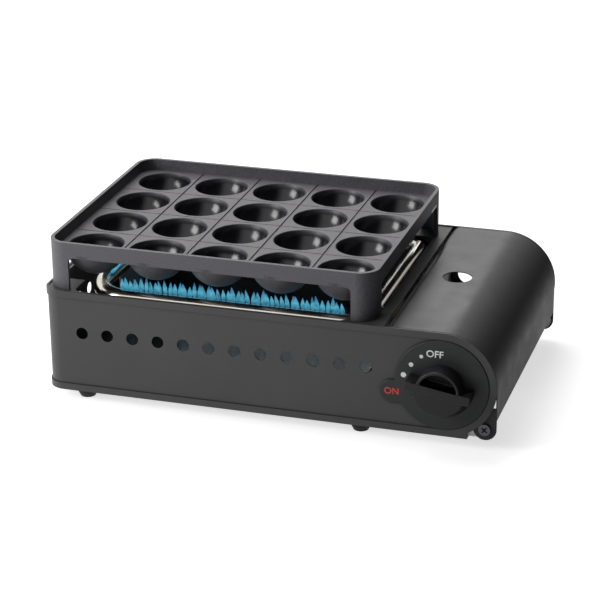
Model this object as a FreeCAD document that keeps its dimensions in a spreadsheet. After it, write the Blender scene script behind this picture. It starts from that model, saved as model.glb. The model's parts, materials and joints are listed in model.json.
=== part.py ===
"""Table-top gas takoyaki grill: a cast plate of bowls over a tube burner in a sheet-steel body,
with a canister bay, its hinged cover and the gas valve at the right-hand end.

Millimetres, +Z up. Every size below is written with X = 0 and Y = 0 at the middle of the
takoyaki plate and Z = 0 on the table; each piece's Placement then carries it to the part's own
origin, which is the middle of the object's box on the table.
"""
import FreeCAD, Part
import Sketcher
import math
import os
import re

doc = FreeCAD.newDocument("takoyaki_grill")
sheet = doc.addObject("Spreadsheet::Sheet", "sizes")

DRIVING = {
    # takoyaki plate
    "pitch": 51, "columns": 5, "rows": 4, "bowl_rad": 21.9, "bowl_depth": 20.5, "lip_cut": 1.2,
    "plate_wide": 266, "plate_deep": 212.4, "plate_corner": 16, "plate_wall": 3, "skin": 3.2,
    "rim_up": 9.7, "leg_long": 19, "window_drop": 2.8, "leg_drop": 29.1, "window_corner": 4,
    "groove_wide": 1.4, "groove_deep": 0.9,
    # body shell and its pressed border
    "body_margin_x": 2.6, "body_margin_y": 6.4, "body_low": 9, "body_high": 84, "body_corner": 14,
    "steel": 0.8, "border_proud": 1, "border_wide": 5.5,
    "vent_rad": 4.9, "vent_pitch": 20.96, "vent_in": 32.8, "vent_z": 58.5, "vent_count": 12,
    "side_vents": 7, "base_past": 20, "pan_turn_up": 4, "pan_lip_in": 8,
    "rear_slot_left": 146, "rear_slot_right": 180, "rear_slot_low": 43, "rear_slot_high": 59,
    "seat_wide": 3.6, "seat_gap": 0.5, "seat_reach": 14,
    # burner
    "burner_in_left": 28, "burner_in_right": 11, "burner_in_y": 16.2, "burner_z": 82.5,
    "burner_rad": 7, "burner_wall": 0.7, "burner_bend": 36, "burner_bend_right": 16,
    "port_rad": 1, "port_pitch": 8, "port_lean": 45, "inlet_in": 20, "inlet_rad": 8, "collar_long": 3,
    "mixer_fit": 0.02, "mixer_wall": 0.8, "mixer_flare": 3, "mixer_gap": 2.6, "mixer_start": 0.6,
    "bracket_thick": 1.2, "bracket_wide_left": 50, "bracket_wide_right": 16, "bracket_toe_left": 14,
    "bracket_toe_right": 10, "bracket_bite": 0.1,
    # spark electrode
    "lead_in": 18, "spark_drop": 14.5, "sleeve_rad": 4, "sleeve_fit": 0.05, "sleeve_in": 5,
    "sleeve_out": 11, "rod_rad": 0.8, "rod_in": 13, "rod_out": 11.2, "spark_rise": 3,
    # frame, walls and tray inside the body
    "rail_deep": 3.3, "rail_left": 2.8, "rail_right": 9, "gusset_x": 23, "gusset_y": 22.2,
    "opening_corner": 6, "wall_gap": 7, "frame_past": 0.8,
    "jet_way_rad": 5.3, "lead_way_gap": 2.4, "heat_gap": 6.2, "heat_start": 30, "heat_end": 40,
    "heat_drop": 6, "tray_in_left": 39, "tray_in_right": 14, "tray_in_y": 18, "tray_high": 9,
    "tray_corner": 10,
    # valve
    "spindle_rad": 3, "spindle_fit": 0.05, "spindle_in": 9.8, "spindle_way_gap": 2.5,
    "needle_rad": 2, "needle_fit": 0.06, "needle_in": 10.5, "needle_cone": 1.9, "needle_point": 0.6,
    "socket_rad": 8, "socket_deep": 8, "valve_wide": 41, "valve_high": 34, "valve_back": 28.6,
    "valve_flange": 27, "flange_thick": 4, "boss_rad": 9, "boss_long": 6, "magnet_thick": 3,
    "magnet_rim": 2, "magnet_bore": 15, "seal_thick": 3, "seal_bore": 3.4, "seal_fit": 0.02,
    "post_rad": 2.6, "post_long": 4.8, "post_x": 14, "post_z": 12,
    # regulator, gas pipe and jet
    "regulator_rad": 11, "regulator_back": 12.4, "drum_long": 6, "drum_wall": 3,
    "diaphragm_thick": 0.6, "cap_rim": 1.4, "cap_dome": 4, "cap_step": 1.5, "cap_top": 5,
    "pipe_rad": 2.5, "pipe_bend": 4.5, "pipe_back": 16, "pipe_drop": 5, "pipe_off": 10.2,
    "jet_flange": 2.5, "jet_long": 5, "jet_rad": 5, "jet_nose": 6, "jet_tip": 2.2, "jet_root": 4.2,
    "jet_bore": 0.5,
    # igniter and its lead
    "piezo_left": 18, "piezo_right": 7, "piezo_high": 13, "piezo_front": 4, "piezo_rear": 5,
    "plunger_rad": 2.6, "plunger_front": 1, "lead_rad": 1.3, "lead_bend": 5, "lead_back": 14,
    "lead_drop": 1.5, "lead_off": 7, "lead_turn": 10,
    # canister bay and guide
    "can_rad": 33.5, "can_gap": 0.5, "bay_gap": 13, "guide_left": 24, "guide_trim": 3,
    "guide_front": 50, "guide_rear": 70, "guide_thick": 1.2, "rib_thick": 3, "rib_in_front": 2,
    "rib_in_rear": 8, "rib_high": 14,
    # canister cover and its hinge
    "cover_gap": 0.4, "cover_slit": 1.6, "cover_round": 8, "cover_lip": 3.2, "cover_up": 7.5,
    "ear_rad": 9, "ear_up": 18, "pin_rad": 2.5, "pin_fit": 0.05, "pin_grip": 0.02, "finger_rad": 11.5,
    "finger_in": 15.5, "hinge_gap": 0.3, "hinge_thick": 1.6, "hinge_half": 7.4, "hinge_left": 12,
    "hinge_post": 9, "head_rad": 4.6, "head_thick": 1.7, "pin_past": 2, "catch_long": 5,
    "catch_half": 7, "catch_high": 6, "catch_gap": 0.4,
    # knob and dial
    "dial_thick": 1.6, "dial_gap": 0.3, "lobe_rad": 9.6, "lobe_x": -38, "lobe_z": -9.5,
    "knob_gap": 0.4, "knob_long": 51, "bar_wide": 7, "knob_proud": 16, "knob_ring": 17,
    "knob_wall": 2.4, "knob_tilt": 9.4, "skirt_slope": 5, "skirt_short": 5, "ring_short": 1,
    "ring_floor": 4, "bore_end": 4, "bore_grip": 0.01,
    # rubber feet
    "foot_rad": 8, "foot_in_left": 29.6, "foot_in_right": 20, "foot_inset": 14.6, "foot_tip": 4,
    "foot_taper": 2, "foot_hole": 2, "foot_well": 4.2, "foot_seat": 5, "foot_fit": 0.02,
    "foot_head": 4, "head_deep": 2,
    # how far the cutting shapes run past what they cut
    "past": 10,
}

for row, (alias, value) in enumerate(DRIVING.items(), start=1):
    sheet.set(f"A{row}", alias)
    sheet.set(f"B{row}", str(value))
    sheet.setAlias(f"B{row}", alias)
doc.recompute()

# Sizes worked out from the driving ones, each an expression of them.
DERIVED = {
    "body_left": "plate_wide / 2 + body_margin_x",
    "body_half": "plate_deep / 2 + body_margin_y",
    "gusset_in_x": "plate_wide / 2 - gusset_x",
    "gusset_in_y": "plate_deep / 2 - gusset_y",
    "wall_x": "plate_wide / 2 + wall_gap",
    "end_x": "wall_x + can_rad + bay_gap",
    "base_right": "end_x + base_past",
    "burner_left": "plate_wide / 2 - burner_in_left",
    "burner_right": "plate_wide / 2 - burner_in_right",
    "burner_half": "plate_deep / 2 - burner_in_y",
    "inlet_y": "inlet_in - burner_half",
    "lead_y": "inlet_y + lead_in",
    "spark_z": "burner_z - spark_drop",
    "tray_left": "tray_in_left - burner_left",
    "tray_right": "burner_right - tray_in_right",
    "tray_half": "burner_half - tray_in_y",
    "vent_first": "vent_in - body_left",
    "cover_left": "wall_x + cover_slit",
    "flat_left": "cover_left + sqrt(cover_lip * (2 * cover_round - cover_lip))",
    "finger_x": "end_x - finger_in",
    "floor_z": "body_low + steel",
    "body_top": "body_low + body_high",
    "end_z": "body_low + body_high / 2",
    "end_rad": "body_high / 2",
    "frame_top": "body_top - steel",
    "deck_z": "frame_top + leg_drop",
    "recess_half": "body_half - border_proud",
    "inner_half": "body_half - border_proud - steel",
    "inner_left": "body_left - border_proud - steel",
    "cover_right": "end_x + end_rad",
    "pivot_x": "end_x + end_rad - ear_rad",
    "pivot_z": "body_low + ear_rad",
    "cover_half": "body_half - border_proud - steel - cover_gap",
    "valve_front": "body_half - border_proud - steel",
    "valve_rear": "body_half - border_proud - steel - valve_back",
    "dial_front": "body_half - border_proud + dial_thick",
    "knob_back": "body_half - border_proud + dial_thick + knob_gap",
    "knob_front": "body_half - border_proud + dial_thick + knob_gap + knob_proud",
    "shift_x": "(body_left - end_x - end_rad) / 2",
    "shift_y": "(knob_front - body_half) / 2",
}
for row, (alias, text) in enumerate(DERIVED.items(), start=1):
    sheet.set(f"D{row}", alias)
    sheet.set(f"E{row}", "=" + text)
    sheet.setAlias(f"E{row}", alias)
doc.recompute()

NAMES = [*DRIVING, *DERIVED]
NAME_PATTERN = re.compile(r"\b(" + "|".join(NAMES) + r")\b")


def full(text):
    """The expression with each size's name pointing at the sheet."""
    return NAME_PATTERN.sub(r"sizes.\1", str(text))


def size(text):
    """The present value of an expression, in millimetres or as a count."""
    return float(sheet.evalExpression(full(text)))


def bind(obj, **sizes):
    for prop, text in sizes.items():
        obj.setExpression(prop, full(text))
    return obj


own_places = {}


def place(obj, x=0, y=0, z=0):
    own_places[obj.Name] = (x, y, z)
    for axis, text in zip("xyz", (x, y, z)):
        obj.setExpression("Placement.Base." + axis, full(text))
    return obj


AXIS_TURNS = {
    "X": FreeCAD.Rotation(FreeCAD.Vector(0, 1, 0), 90),
    "Y": FreeCAD.Rotation(FreeCAD.Vector(1, 0, 0), -90),
    "Z": FreeCAD.Rotation(),
}


def box(name, x, y, z):
    """A block from three (low, high) pairs of expressions."""
    obj = doc.addObject("Part::Box", name)
    for prop, (low, high) in zip(("Length", "Width", "Height"), (x, y, z)):
        obj.setExpression(prop, full(f"({high}) - ({low})"))
    return place(obj, x[0], y[0], z[0])


def cyl(name, axis, rad, low, high, centre):
    """A cylinder along X, Y or Z; centre gives the other two coordinates in X, Y, Z order."""
    obj = doc.addObject("Part::Cylinder", name)
    obj.Placement.Rotation = AXIS_TURNS[axis]
    bind(obj, Radius=rad, Height=f"({high}) - ({low})")
    spot = list(centre)
    spot.insert("XYZ".index(axis), low)
    return place(obj, *spot)


def cone(name, axis, rad_low, rad_high, low, high, centre):
    obj = doc.addObject("Part::Cone", name)
    obj.Placement.Rotation = AXIS_TURNS[axis]
    bind(obj, Radius1=rad_low, Radius2=rad_high, Height=f"({high}) - ({low})")
    spot = list(centre)
    spot.insert("XYZ".index(axis), low)
    return place(obj, *spot)


def ball(name, rad, x, y, z):
    obj = doc.addObject("Part::Sphere", name)
    bind(obj, Radius=rad)
    return place(obj, x, y, z)


def fuse(name, *pieces, refine=True):
    obj = doc.addObject("Part::MultiFuse", name)
    obj.Shapes = list(pieces)
    obj.Refine = refine
    return obj


def common(name, first, second):
    obj = doc.addObject("Part::Common", name)
    obj.Base = first
    obj.Tool = second
    return obj


def cut(name, base, *tools):
    """The base less one tool, or less several joined into one."""
    obj = doc.addObject("Part::Cut", name)
    obj.Base = base
    obj.Tool = tools[0] if len(tools) == 1 else fuse(name + "_tools", *tools)
    return obj


def slab(name, x, y, z, corner):
    """A block with round upright corners: a sketched rectangle with arcs, padded up from z[0]."""
    body = doc.addObject("PartDesign::Body", name)
    sketch = body.newObject("Sketcher::SketchObject", name + "_outline")
    planes = {plane.Role: plane for plane in body.Origin.OriginFeatures}
    sketch.AttachmentSupport = [(planes["XY_Plane"], "")]
    sketch.MapMode = "FlatFace"
    x0, x1, y0, y1, rad = (size(text) for text in (x[0], x[1], y[0], y[1], corner))
    vec = FreeCAD.Vector
    corners = [(x1 - rad, y1 - rad, 0), (x0 + rad, y1 - rad, 90), (x0 + rad, y0 + rad, 180),
               (x1 - rad, y0 + rad, 270)]
    arcs = []
    for cx, cy, start in corners:
        circle = Part.Circle(vec(cx, cy, 0), vec(0, 0, 1), rad)
        arc = Part.ArcOfCircle(circle, math.radians(start), math.radians(start + 90))
        arcs.append(sketch.addGeometry(arc, False))
    ends = [((x1 - rad, y1), (x0 + rad, y1)), ((x0, y1 - rad), (x0, y0 + rad)),
            ((x0 + rad, y0), (x1 - rad, y0)), ((x1, y0 + rad), (x1, y1 - rad))]
    lines = [sketch.addGeometry(Part.LineSegment(vec(*a, 0), vec(*b, 0)), False) for a, b in ends]
    rule = Sketcher.Constraint
    for i in range(4):
        sketch.addConstraint(rule("Tangent", arcs[i], 2, lines[i], 1))
        sketch.addConstraint(rule("Tangent", lines[i], 2, arcs[(i + 1) % 4], 1))
    for i in range(1, 4):
        sketch.addConstraint(rule("Equal", arcs[0], arcs[i]))
    sketch.addConstraint(rule("Horizontal", lines[0]))
    sketch.addConstraint(rule("Vertical", lines[1]))
    sketch.addConstraint(rule("Horizontal", lines[2]))
    sketch.addConstraint(rule("Vertical", lines[3]))
    for kind, line, value, text in (("DistanceX", 1, x0, x[0]), ("DistanceX", 3, x1, x[1]),
                                    ("DistanceY", 2, y0, y[0]), ("DistanceY", 0, y1, y[1])):
        number = sketch.addConstraint(rule(kind, -1, 1, lines[line], 1, value))
        sketch.setExpression(f"Constraints[{number}]", full(text))
    number = sketch.addConstraint(rule("Radius", arcs[0], rad))
    sketch.setExpression(f"Constraints[{number}]", full(corner))
    pad = body.newObject("PartDesign::Pad", name + "_pad")
    pad.Profile = sketch
    pad.setExpression("Length", full(f"({z[1]}) - ({z[0]})"))
    pad.Refine = True
    body.Tip = pad
    return place(body, 0, 0, z[0])


def bent_tube(name, rad, points, bend_rad):
    """A round rod or lead along straight runs joined by tangent arcs."""
    bend = size(bend_rad)
    pts = [FreeCAD.Vector(*(size(text) for text in point)) for point in points]
    edges = []
    start = pts[0]
    for before, corner, after in zip(pts, pts[1:], pts[2:]):
        inward = (corner - before).normalize()
        outward = (after - corner).normalize()
        turn = inward.getAngle(outward)
        reach = bend * math.tan(turn / 2)
        first = corner - inward * reach
        last = corner + outward * reach
        middle_way = (outward - inward).normalize()
        middle = corner + middle_way * (bend / math.cos(turn / 2) - bend)
        edges.append(Part.LineSegment(start, first).toShape())
        edges.append(Part.Arc(first, middle, last).toShape())
        start = last
    edges.append(Part.LineSegment(start, pts[-1]).toShape())
    path = Part.Wire(edges)
    direction = (pts[1] - pts[0]).normalize()
    ring = Part.Wire([Part.Circle(pts[0], direction, size(rad)).toShape()])
    obj = doc.addObject("Part::Feature", name)
    obj.Shape = path.makePipeShell([ring], True, False)
    return obj


parts = {}


def part(name, obj):
    """Keep a finished piece as a sub-part, carried to the part's own origin by its Placement."""
    obj.Label = name
    parts[name] = obj
    x, y, z = own_places.get(obj.Name, (0, 0, 0))
    return place(obj, f"shift_x + ({x})", f"shift_y + ({y})", z)


def grid(count, pitch):
    """Positions of a centred row, as expressions."""
    return [f"({i} - ({int(size(count))} - 1) / 2) * {pitch}" for i in range(int(size(count)))]


# Takoyaki plate: a cast tray with a rim, bowls hanging under its deck, and a skirt whose
# windows leave four corner legs.
half_x, half_y = "plate_wide / 2", "plate_deep / 2"
plate_block = slab("plate_block", (f"-{half_x}", half_x), (f"-{half_y}", half_y),
                   ("frame_top", "deck_z + rim_up"), "plate_corner")
plate_well = slab("plate_well", (f"-({half_x} - plate_wall)", f"{half_x} - plate_wall"),
                  (f"-({half_y} - plate_wall)", f"{half_y} - plate_wall"),
                  ("deck_z", "deck_z + rim_up + past"), "plate_corner - plate_wall")
plate_hollow = slab("plate_hollow", (f"-({half_x} - plate_wall)", f"{half_x} - plate_wall"),
                    (f"-({half_y} - plate_wall)", f"{half_y} - plate_wall"),
                    ("frame_top - past", "deck_z - skin"), "plate_corner - plate_wall")
plate_tray = cut("plate_tray", plate_block, plate_well, plate_hollow)
cup_rad = "(bowl_rad * bowl_rad + bowl_depth * bowl_depth) / (2 * bowl_depth)"
cup_z = f"deck_z - bowl_depth + {cup_rad}"
bulges, cups, lips = [], [], []
for i, x in enumerate(grid("columns", "pitch")):
    for j, y in enumerate(grid("rows", "pitch")):
        bulges.append(ball(f"bulge_{i}_{j}", f"{cup_rad} + skin", x, y, cup_z))
        cups.append(ball(f"cup_{i}_{j}", cup_rad, x, y, cup_z))
        lips.append(cone(f"lip_{i}_{j}", "Z", "bowl_rad - lip_cut", "bowl_rad + lip_cut",
                         "deck_z - 1.5 * lip_cut", "deck_z + 0.5 * lip_cut", (x, y)))
above_deck = box("above_deck", (f"-{half_x}", half_x), (f"-{half_y}", half_y),
                 ("deck_z - skin / 2", "deck_z + 2 * bowl_depth"))
bulge_set = cut("bulge_set", fuse("bulges", *bulges), above_deck)
low, high = "frame_top - past", "deck_z - window_drop"
windows = []
for axis, across, through in (("Y", half_x, half_y), ("X", half_y, half_x)):
    wide, reach = f"({across} - leg_long)", f"({through} + past)"
    wide_in = f"({wide} - window_corner)"
    run = (f"-{reach}", reach)
    for tag, span, top in (("low", wide, f"{high} - window_corner"), ("top", wide_in, high)):
        spans = [(f"-{span}", span), run]
        if axis == "X":
            spans.reverse()
        windows.append(box(f"window_{tag}_{axis}", *spans, (low, top)))
    for side, sign in (("right", ""), ("left", "-")):
        windows.append(cyl(f"window_round_{side}_{axis}", axis, "window_corner", *run,
                           (f"{sign}{wide_in}", f"{high} - window_corner")))
window_set = fuse("window_set", *windows)
skirt = cut("skirt", plate_tray, window_set)
grooves = []
for i in range(1, int(size("columns"))):
    x = f"({i} - columns / 2) * pitch"
    grooves.append(box(f"groove_x_{i}", (f"{x} - groove_wide / 2", f"{x} + groove_wide / 2"),
                       (f"-({half_y} - plate_wall)", f"{half_y} - plate_wall"),
                       ("deck_z - groove_deep", "deck_z + groove_deep")))
for j in range(1, int(size("rows"))):
    y = f"({j} - rows / 2) * pitch"
    grooves.append(box(f"groove_y_{j}", (f"-({half_x} - plate_wall)", f"{half_x} - plate_wall"),
                       (f"{y} - groove_wide / 3", f"{y} + groove_wide / 3"),
                       ("deck_z - groove_deep / 2", "deck_z + groove_deep")))
part("takoyaki_plate", cut("plate", fuse("plate_solid", skirt, bulge_set), *cups, *lips, *grooves))


# Body shell: one wrap of sheet steel, front, left end and back, with a raised border and
# half-round right ends that carry the canister cover.
def end_prism(name, inset, left, y_span):
    """The half-round outline of the front and back panels, drawn in by an inset."""
    low, high = f"body_low + {inset}", f"body_top - {inset}"
    bar = box(name + "_bar", (left, "end_x"), y_span, (low, high))
    nose = cyl(name + "_nose", "Y", f"end_rad - {inset}", y_span[0], y_span[1], ("end_x", "end_z"))
    return fuse(name, bar, nose)


def wrap(name, inset, z_span):
    """The body's plan outline with its round left corners, drawn in by an inset."""
    return slab(name, (f"-(body_left - {inset})", "cover_right + 3 * past"),
                (f"-(body_half - {inset})", f"body_half - {inset}"), z_span, f"body_corner - {inset}")


deep = ("-(body_half + past)", "body_half + past")
tall = ("body_low - past", "body_top + past")
taller = ("body_low - 2 * past", "body_top + 2 * past")
far_left = "-(body_left + past)"
toe = box("toe", ("end_x", "base_right"), deep, ("body_low", "body_low + border_wide"))
silhouette = fuse("silhouette", end_prism("end_outer", "0", far_left, deep), toe)
shell_solid = common("shell_solid", wrap("wrap_outer", "0", tall), silhouette)
recess_ring = cut("recess_ring", box("recess_block", (far_left, "cover_right + 2 * past"), deep, tall),
                  wrap("wrap_recess", "border_proud", taller))
recess = common("recess", recess_ring, end_prism("end_inner", "border_wide", far_left, deep))
cavity = wrap("wrap_inner", "(border_proud + steel)", taller)
vents = []
for i in range(int(size("vent_count"))):
    vents.append(cyl(f"vent_{i}", "Y", "vent_rad", *deep,
                     (f"vent_first + {i} * vent_pitch", "vent_z")))
for i, y in enumerate(grid("side_vents", "vent_pitch")):
    vents.append(cyl(f"side_vent_{i}", "X", "vent_rad", far_left, "-(body_left - past)", (y, "vent_z")))
slot_rad = "(rear_slot_high - rear_slot_low) / 2"
slot_z = "(rear_slot_high + rear_slot_low) / 2"
slot_x = [f"rear_slot_left + {slot_rad}", f"rear_slot_right - {slot_rad}"]
behind = ("body_half - past", "body_half + past")
vents.append(box("rear_slot", slot_x, behind, ("rear_slot_low", "rear_slot_high")))
for i, x in enumerate(slot_x):
    vents.append(cyl(f"rear_slot_end_{i}", "Y", slot_rad, *behind, (x, slot_z)))
spindle_way = cyl("spindle_way", "Y", "spindle_rad + spindle_way_gap", "-(body_half + past)",
                  "-(body_half - past)", ("end_x", "end_z"))
seats = []
for side, sign in (("front", "-"), ("back", "")):
    outer, inner = f"{sign}inner_half", f"{sign}(inner_half - seat_wide)"
    span = (outer, inner) if side == "front" else (inner, outer)
    ring = cut(f"seat_ring_{side}",
               cyl(f"seat_out_{side}", "Y", "end_rad - steel - seat_gap", *span, ("end_x", "end_z")),
               cyl(f"seat_in_{side}", "Y", "end_rad - 2 * steel - seat_gap", f"{span[0]} - past",
                   f"{span[1]} + past", ("end_x", "end_z")))
    arc = common(f"seat_arc_{side}", ring,
                 box(f"seat_zone_{side}", ("end_x", "cover_right"), span,
                     ("end_z - seat_reach", "body_top")))
    flat = box(f"seat_flat_{side}", ("flat_left", "end_x"), span,
               ("body_top - 2 * steel - seat_gap", "body_top - steel - seat_gap"))
    seats.extend([arc, flat])
shell_open = cut("shell_open", shell_solid, recess, cavity, *vents, spindle_way)
part("body_shell", fuse("shell", shell_open, *seats))

# Base pan under the body, with a turned-up right edge.
pan_floor = slab("pan_floor", ("-inner_left", "base_right + 3 * past"), ("-inner_half", "inner_half"),
                 ("body_low", "body_low + steel"), "body_corner - border_proud - steel")
pan_trim = box("pan_trim", ("base_right", "base_right + 4 * past"), deep, tall)
pan_lip = box("pan_lip", ("base_right - steel", "base_right"),
              ("-(inner_half - pan_lip_in)", "inner_half - pan_lip_in"),
              ("body_low", "body_low + pan_turn_up"))
part("base_pan", fuse("pan", cut("pan_cut", pan_floor, pan_trim), pan_lip))

# Top frame: narrow rails round a wide opening over the burner, with a gusset in each corner
# that a leg of the plate stands on.
ledge = slab("ledge", ("-inner_left", "wall_x + 4 * past"), ("-inner_half", "inner_half"),
             ("frame_top - steel", "frame_top"), "body_corner - border_proud - steel")
around_top = ("frame_top - past", "frame_top + past")
ledge_trim = box("ledge_trim", ("wall_x + frame_past", "wall_x + 5 * past"), deep, around_top)
ledge_wide = slab("ledge_wide", ("-(inner_left - rail_left)", "wall_x - rail_right"),
                  ("-gusset_in_y", "gusset_in_y"), around_top, "opening_corner")
ledge_deep = slab("ledge_deep", ("-gusset_in_x", "gusset_in_x"),
                  ("-(inner_half - rail_deep)", "inner_half - rail_deep"), around_top, "opening_corner")
part("top_frame", cut("frame_ring", ledge, ledge_trim, ledge_wide, ledge_deep))

# Partition between the burner and the canister bay.
inlet, spark = ("inlet_y", "burner_z"), ("lead_y", "spark_z")
through_wall = ("wall_x - past", "wall_x + past")
partition = box("partition_sheet", ("wall_x - steel", "wall_x"), ("-inner_half", "inner_half"),
                ("floor_z", "frame_top - steel"))
jet_way = cyl("jet_way", "X", "jet_way_rad", *through_wall, inlet)
lead_way = cyl("lead_way", "X", "lead_rad + lead_way_gap", *through_wall, spark)
part("partition", cut("partition_cut", partition, jet_way, lead_way))

# Heat panel: a second sheet that keeps the canister cool, on its own foot.
heat_x = "wall_x + heat_gap"
heat_deep = ("inlet_y + heat_start", "inner_half - heat_end")
heat_sheet = box("heat_sheet", (heat_x, f"{heat_x} + steel"), heat_deep, ("floor_z", "body_top - heat_drop"))
heat_foot = box("heat_foot", ("wall_x", heat_x), heat_deep, ("floor_z", "floor_z + steel"))
part("heat_panel", fuse("heat_angle", heat_sheet, heat_foot))

# Drip tray on the base pan, under the burner.
tray_block = slab("tray_block", ("tray_left", "tray_right"), ("-tray_half", "tray_half"),
                  ("floor_z", "floor_z + tray_high"), "tray_corner")
tray_well = slab("tray_well", ("tray_left + steel", "tray_right - steel"),
                 ("-(tray_half - steel)", "tray_half - steel"),
                 ("floor_z + steel", "floor_z + tray_high + past"), "tray_corner - steel")
part("drip_tray", cut("tray", tray_block, tray_well))


# Burner: a polished tube bent into a loop, with a row of ports on its inner shoulder.
def loop_path():
    """The centreline of the loop: four runs joined by quarter bends."""
    left, right = -size("burner_left"), size("burner_right")
    half, z = size("burner_half"), size("burner_z")
    big, small = size("burner_bend"), size("burner_bend_right")
    spots = [(left, -half, big), (right, -half, small), (right, half, small), (left, half, big)]
    edges = []
    for i, (x, y, bend) in enumerate(spots):
        next_x, next_y, next_bend = spots[(i + 1) % 4]
        run = FreeCAD.Vector(next_x - x, next_y - y, 0).normalize()
        aside = FreeCAD.Vector(-run.y, run.x, 0)
        start = FreeCAD.Vector(x, y, z) + run * bend
        end = FreeCAD.Vector(next_x, next_y, z) - run * next_bend
        edges.append(Part.LineSegment(start, end).toShape())
        slant = (run - aside).normalize()
        middle = end + aside * next_bend + slant * next_bend
        edges.append(Part.Arc(end, middle, end + (run + aside) * next_bend).toShape())
    return Part.Wire(edges)


def loop_rod(name, rad):
    path = loop_path()
    start = path.Edges[0].Vertexes[0].Point
    ring = Part.Wire([Part.Circle(start, FreeCAD.Vector(1, 0, 0), size(rad)).toShape()])
    obj = doc.addObject("Part::Feature", name)
    obj.Shape = path.makePipeShell([ring], True, False)
    return obj


burner_loop = cut("burner_loop", loop_rod("loop_outside", "burner_rad"),
                  loop_rod("loop_inside", "burner_rad - burner_wall"))
ports = []
lean = size("port_lean")
port_long = "1.3 * burner_rad"
port_run = size("burner_left + burner_right - burner_bend - burner_bend_right")
for i in range(int(port_run // size("port_pitch")) + 1):
    x = f"-burner_left + burner_bend + {i} * port_pitch"
    for tag, sign, way in (("front", "-", -lean), ("back", "", lean)):
        port = doc.addObject("Part::Cylinder", f"port_{tag}_{i}")
        port.Placement.Rotation = FreeCAD.Rotation(FreeCAD.Vector(1, 0, 0), way)
        bind(port, Radius="port_rad", Height=port_long)
        ports.append(place(port, x, f"{sign}burner_half", "burner_z"))
side_run = size("2 * (burner_half - burner_bend)")
for i in range(int(side_run // size("port_pitch")) + 1):
    port = doc.addObject("Part::Cylinder", f"port_left_{i}")
    port.Placement.Rotation = FreeCAD.Rotation(FreeCAD.Vector(0, 1, 0), lean)
    bind(port, Radius="port_rad", Height=port_long)
    ports.append(place(port, "-burner_left", f"-(burner_half - burner_bend) + {i} * port_pitch", "burner_z"))
collar_end = "burner_right + burner_rad + collar_long"
inlet_way = cyl("inlet_way", "X", "burner_rad - burner_wall", "burner_right", f"{collar_end} + past", inlet)
collar = cut("collar", cyl("collar_out", "X", "inlet_rad", "burner_right", collar_end, inlet),
             cyl("collar_in", "X", "burner_rad", "burner_right - burner_wall", f"{collar_end} + past",
                 inlet),
             cyl("collar_saddle", "Y", "burner_rad - burner_wall / 7", "inlet_y - 2 * past",
                 "inlet_y + 2 * past", ("burner_right", "burner_z")))
burner_ported = cut("burner_ported", burner_loop, inlet_way, *ports)
part("burner_tube", fuse("burner", burner_ported, collar, refine=False))

# Mixing tube: a short flared tube that takes gas and air into the loop.
mouth_x = "wall_x - steel - mixer_gap"
mixer = fuse("mixer_out",
             cyl("mixer_pipe", "X", "burner_rad - mixer_fit", "burner_right + burner_rad + mixer_start",
                 mouth_x, inlet),
             cone("mixer_cone", "X", "burner_rad - mixer_fit", "burner_rad + mixer_wall - 0.2",
                  f"{mouth_x} - mixer_flare", mouth_x, inlet))
mixer_bore = cyl("mixer_bore", "X", "burner_rad - mixer_wall", "burner_right", "wall_x", inlet)
part("mixing_tube", cut("mixer", mixer, mixer_bore))

# Burner brackets: sheet uprights from the base pan to the underside of the tube.
for side, x, y in (("left", "-burner_left", "0"), ("right", "burner_right", "lead_y")):
    across = (f"{y} - bracket_wide_{side} / 2", f"{y} + bracket_wide_{side} / 2")
    upright = box(f"upright_{side}", (f"{x} - bracket_thick / 2", f"{x} + bracket_thick / 2"), across,
                  ("floor_z", "burner_z - burner_rad + bracket_bite"))
    toe_span = (x, f"{x} + bracket_toe_left") if side == "left" else (f"{x} - bracket_toe_right", x)
    foot = box(f"bracket_foot_{side}", toe_span, across, ("floor_z", "floor_z + bracket_thick"))
    tools = [cyl(f"tube_way_{side}", "Y", "burner_rad + mixer_fit", f"{y} - bracket_wide_left",
                 f"{y} + bracket_wide_left", (x, "burner_z"))]
    if side == "right":
        tools.append(cyl("insulator_way", "X", "sleeve_rad + sleeve_fit", f"{x} - past", f"{x} + past",
                         spark))
    bracket = fuse(f"bracket_solid_{side}", upright, foot)
    part(f"burner_bracket_{side}", cut(f"bracket_{side}", bracket, *tools))

# Spark electrode in its ceramic sleeve, held by the right-hand bracket.
sleeve = cyl("sleeve", "X", "sleeve_rad", "burner_right - sleeve_in", "burner_right + sleeve_out", spark)
sleeve_bore = cyl("sleeve_bore", "X", "rod_rad + sleeve_fit", "burner_right - 2 * past",
                  "burner_right + 2 * past", spark)
part("electrode_insulator", cut("insulator", sleeve, sleeve_bore))
part("spark_electrode", fuse("electrode",
                             cyl("electrode_rod", "X", "rod_rad", "burner_right - rod_in",
                                 "burner_right + rod_out", spark),
                             cyl("electrode_tip", "Z", "rod_rad", "spark_z", "burner_z + spark_rise",
                                 ("burner_right - rod_in", "lead_y")),
                             ball("electrode_elbow", "rod_rad", "burner_right - rod_in", "lead_y",
                                  "spark_z")))

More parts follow.
